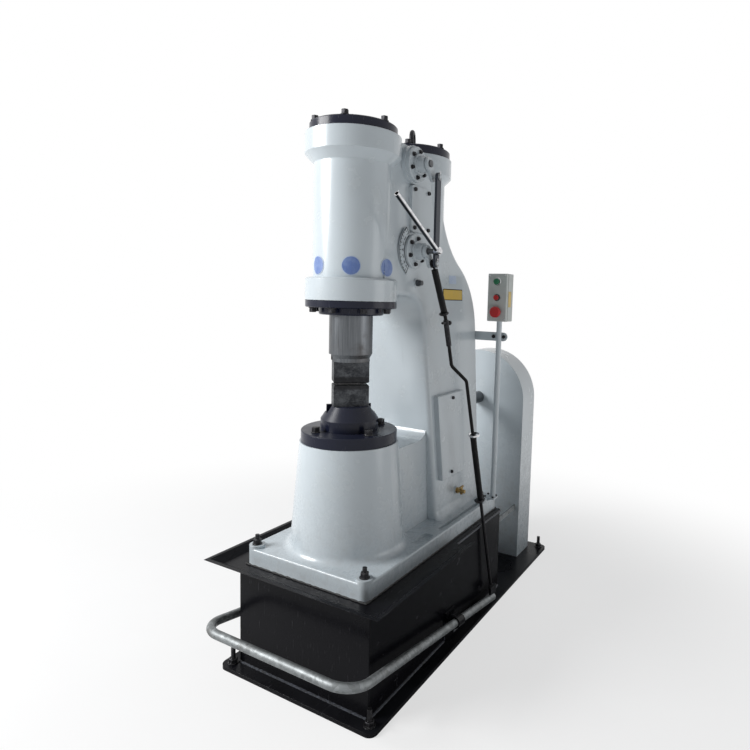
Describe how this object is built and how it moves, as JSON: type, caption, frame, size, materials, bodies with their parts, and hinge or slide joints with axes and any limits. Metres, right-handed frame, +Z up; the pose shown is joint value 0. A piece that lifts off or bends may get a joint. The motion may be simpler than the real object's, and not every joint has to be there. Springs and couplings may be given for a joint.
{
  "type": "pneumatic forging hammer",
  "caption": "Self-contained air forging hammer on a black welded stand, with a foot treadle, valve levers, a push-button box and a belt guard.",
  "frame": {"origin": "on the floor, straight below the axis of the ram", "axes": "+Z up, -Y towards the operator at the ram end, +X to the right side with the valve levers"},
  "size_m": [0.651, 1.5104, 1.765],
  "materials": {
    "grey_paint": "gloss",
    "black_paint": "gloss",
    "galvanised": "satin",
    "machined_steel": "satin",
    "die_steel": "matte",
    "bolt_steel": "satin",
    "chrome": "polished",
    "brass": "polished",
    "box_grey": "matte",
    "green_plastic": "gloss",
    "red_plastic": "gloss"
  },
  "bodies": {
    "machine": {"base_plate": "black_paint", "anchor_bolts": "bolt_steel", "stand_box": "black_paint", "drip_tray": "black_paint", "frame_casting": "grey_paint", "hold_down_bolts": "bolt_steel", "anvil_ring": "black_paint", "ring_bolts": "bolt_steel", "die_holder": "black_paint", "lower_die": "die_steel", "lower_die_key": "black_paint", "gland_ring": "black_paint", "gland": "black_paint", "gland_bolts": "bolt_steel", "front_cylinder_cap": "black_paint", "front_cap_bolts": "bolt_steel", "rear_cylinder_cap": "black_paint", "rear_cap_bolts": "bolt_steel", "lifting_eyebolt": "bolt_steel", "upper_valve_cover": "grey_paint", "lower_valve_cover": "grey_paint", "valve_cover_bolts": "bolt_steel", "left_valve_covers": "grey_paint", "port_cover": "grey_paint", "valve_sector": "machined_steel", "treadle_brackets": "black_paint", "side_cover": "grey_paint", "drain_cock": "brass", "oil_cup": "brass", "control_pole": "grey_paint", "pole_foot": "grey_paint", "pole_bar": "grey_paint", "control_box": "box_grey", "belt_guard": "grey_paint", "guard_strap": "galvanised", "crank_bearing": "grey_paint", "drive_shaft": "machined_steel"},
    "ram_unit": {"ram": "machined_steel", "upper_die": "die_steel", "upper_die_key": "bolt_steel"},
    "treadle": {"foot_treadle": "galvanised", "treadle_collars": "black_paint", "treadle_lug": "galvanised"},
    "rod": {"rod_upper_sleeve": "black_paint", "rod_clamp": "bolt_steel", "rod_crank": "black_paint", "rod_lower_sleeve": "black_paint", "rod_lower": "bolt_steel"},
    "lower_valve": {"lower_valve_shaft": "machined_steel", "lower_valve_lever": "machined_steel", "hand_lever": "chrome"},
    "upper_valve": {"upper_valve_shaft": "machined_steel", "upper_valve_lever": "machined_steel"},
    "link": {"link_bar": "bolt_steel"},
    "start_push": {"start_button": "green_plastic"},
    "stop_push": {"stop_button": "red_plastic"},
    "emergency_push": {"emergency_button": "red_plastic"}
  },
  "joints": [
    {"name": "ram_slide", "type": "slide", "parent": "machine", "child": "ram_unit", "axis": [0, 0, 1], "range_m": [0, 0.2]},
    {"name": "treadle_hinge", "type": "hinge", "parent": "machine", "child": "treadle", "pos_m": [0, 0.245, 0.0808], "axis": [1, 0, 0], "range_deg": [0, 4.5], "stiffness_Nm_per_rad": 60, "springref_deg": -11.46},
    {"name": "rod_pivot", "type": "hinge", "parent": "treadle", "child": "rod", "pos_m": [0.272, 0.552, 0.066], "axis": [1, 0, 0], "range_deg": [-5.6, 0]},
    {"name": "lower_valve_turn", "type": "hinge", "parent": "machine", "child": "lower_valve", "pos_m": [0.15, 0.16, 1.325], "axis": [1, 0, 0], "range_deg": [0, 48]},
    {"name": "upper_valve_turn", "type": "hinge", "parent": "machine", "child": "upper_valve", "pos_m": [0.15, 0.16, 1.598], "axis": [1, 0, 0], "range_deg": [0, 48]},
    {"name": "link_pivot", "type": "hinge", "parent": "lower_valve", "child": "link", "pos_m": [0.1935, 0.18581, 1.28814], "axis": [1, 0, 0], "range_deg": [-48, 0]},
    {"name": "start_button_slide", "type": "slide", "parent": "machine", "child": "start_push", "axis": [0, 1, 0], "range_m": [0, 0.003], "stiffness_N_per_m": 500, "springref_m": -0.004},
    {"name": "stop_button_slide", "type": "slide", "parent": "machine", "child": "stop_push", "axis": [0, 1, 0], "range_m": [0, 0.003], "stiffness_N_per_m": 500, "springref_m": -0.004},
    {"name": "emergency_button_slide", "type": "slide", "parent": "machine", "child": "emergency_push", "axis": [0, 1, 0], "range_m": [0, 0.003], "stiffness_N_per_m": 500, "springref_m": -0.004}
  ],
  "couplings": [
    {"joint": "rod_pivot", "follows": "treadle_hinge", "ratio": -1.2185},
    {"joint": "lower_valve_turn", "follows": "treadle_hinge", "ratio": 10.556},
    {"joint": "upper_valve_turn", "follows": "treadle_hinge", "ratio": 10.556},
    {"joint": "link_pivot", "follows": "treadle_hinge", "ratio": -10.556}
  ]
}
